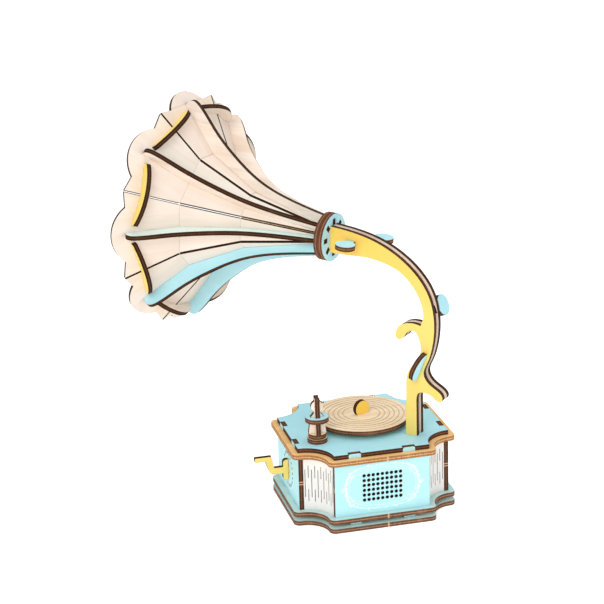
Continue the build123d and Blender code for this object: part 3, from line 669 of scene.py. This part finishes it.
def dress_ribs():
    """The eight ribs, whose grain runs along the horn's axis."""
    made = []
    for label in ("face", "back", "edge"):
        tree = Tree(f"rib_{label}")
        across, reach, axial, number = around_horn(tree, 0.0)
        depth = tree.math("SUBTRACT", across, PLY / 2)
        along = tree.math("ADD", axial, tree.math("MULTIPLY", number, 0.31))
        local = tree.join(along, reach, depth)
        if label == "edge":
            made.append(burnt_edge(local, tree, PLY, RIB_SEED, DARK_EDGE))
        elif label == "face":
            made.append(wood_face(local, tree, BLUE, RIB_SEED, True, extra=rib_glare_highlight(number)))
        else:
            made.append(wood_face(local, tree, CREAM, RIB_SEED, False))
    for index in range(PETALS):
        mesh = nodes[f"horn_rib_{index + 1}"].data
        printed_way = HORN_AXIS.cross(radial(-index * STEP))
        assign(mesh, made, [kind_of(face.normal, printed_way) for face in mesh.polygons])


def dress_stays():
    """The eight stays, which stand square to the outer panels across the seams."""
    slope = slope_of(STATIONS[2], STATIONS[3], 1.0)
    along = Vector((0, math.sin(slope), math.cos(slope)))
    rim = Vector((0, STATIONS[3][1], STATIONS[3][0]))
    foot = (rim - along * STAY_PLACE) * MM
    made = []
    for label in ("face", "back", "edge"):
        tree = Tree(f"stay_{label}")
        across, reach, axial, number = around_horn(tree, STEP / 2)
        folded = tree.join(across, reach, axial)
        local = tree.into(folded, foot + along * PLY / 2, X, along.cross(X), along)
        local = tree.vector("ADD", local, tree.join(tree.math("MULTIPLY", number, 0.21), 0.0, 0.0))
        if label == "edge":
            made.append(burnt_edge(local, tree, PLY, STAY_SEED, DARK_EDGE))
        else:
            colour = YELLOW if label == "face" else CREAM
            made.append(wood_face(local, tree, colour, STAY_SEED, label == "face"))
    mesh = nodes["horn_stays"].data
    kinds = []
    for face in mesh.polygons:
        up, side, _ = on_horn(face.center)
        turn = round((math.atan2(side, up) - STEP / 2) / STEP) * STEP + STEP / 2
        outward = radial(turn) * math.sin(slope) + HORN_AXIS * math.cos(slope)
        kinds.append(kind_of(face.normal, outward))
    assign(mesh, made, kinds)


dress_ribs()
dress_stays()

# ---- floor, light and camera ------------------------------------------------------------------
FLOOR_HALF = 6.0  # in metres, as the places of the lights and the camera are
FLOOR_GLOW = 0.42
STUDIO_GLOW = 0.55


def make_floor():
    """A plain sheet of pale paper."""
    corners = [(x * FLOOR_HALF, y * FLOOR_HALF, 0) for x, y in ((-1, -1), (1, -1), (1, 1), (-1, 1))]
    mesh = bpy.data.meshes.new("floor")
    mesh.from_pydata(corners, [], [(0, 1, 2, 3)])
    tree = Tree("floor_paper")
    tone = tree.ramp(tree.noise(tree.place(), 3.0, 2.0), [(0.3, PAPER[0]), (0.7, PAPER[1])])
    mesh.materials.append(tree.finish(tone, 0.9, glow=FLOOR_GLOW))
    floor = bpy.data.objects.new("floor", mesh)
    scene.collection.objects.link(floor)
    return floor


make_floor()

world = bpy.data.worlds.new("studio")
scene.world = world
world.use_nodes = True
world.node_tree.nodes["Background"].inputs["Color"].default_value = (1.0, 1.0, 1.0, 1.0)
world.node_tree.nodes["Background"].inputs["Strength"].default_value = STUDIO_GLOW


def softbox(name, place, aim, size, power):
    """A square area light that looks at aim."""
    data = bpy.data.lights.new(name, "AREA")
    data.shape = "RECTANGLE"
    data.size = size
    data.size_y = size
    data.energy = power
    light = bpy.data.objects.new(name, data)
    light.location = place
    light.rotation_mode = "QUATERNION"
    light.rotation_quaternion = (aim - Vector(place)).to_track_quat("-Z", "Y")
    scene.collection.objects.link(light)


MIDDLE = Vector((0.0, 0.0, 0.12))
softbox("key", (-0.9, -1.3, 1.1), MIDDLE, 1.0, 15.0)
softbox("fill", (1.3, -1.0, 0.7), MIDDLE, 1.2, 3.5)
softbox("top", (0.1, 0.2, 1.5), MIDDLE, 1.4, 9.0)

CAMERA_PLACE = Vector((-0.309155, -1.106389, 0.523475))
AZIMUTH = math.radians(-13.8096)
ELEVATION = math.radians(18.6932)
ROLL = math.radians(-1.6985)
SENSOR = 36.0  # millimetres, as the lens is
LENS = 114.4314


def make_camera():
    """The camera, turned by its azimuth, its elevation and then a slight roll."""
    data = bpy.data.cameras.new("camera")
    data.sensor_width = SENSOR
    data.lens = LENS
    data.clip_start = 0.05
    data.clip_end = 30.0
    level = math.cos(ELEVATION)
    back = Vector((math.sin(AZIMUTH) * level, -math.cos(AZIMUTH) * level, math.sin(ELEVATION)))
    flat_right = Vector((math.cos(AZIMUTH), math.sin(AZIMUTH), 0))
    flat_up = back.cross(flat_right)
    right = flat_right * math.cos(ROLL) + flat_up * math.sin(ROLL)
    up = flat_up * math.cos(ROLL) - flat_right * math.sin(ROLL)
    camera = bpy.data.objects.new("camera", data)
    turn = Matrix((right, up, back)).transposed().to_4x4()
    camera.matrix_world = Matrix.Translation(CAMERA_PLACE) @ turn
    scene.collection.objects.link(camera)
    return camera


scene.camera = make_camera()
scene.view_settings.view_transform = "Standard"
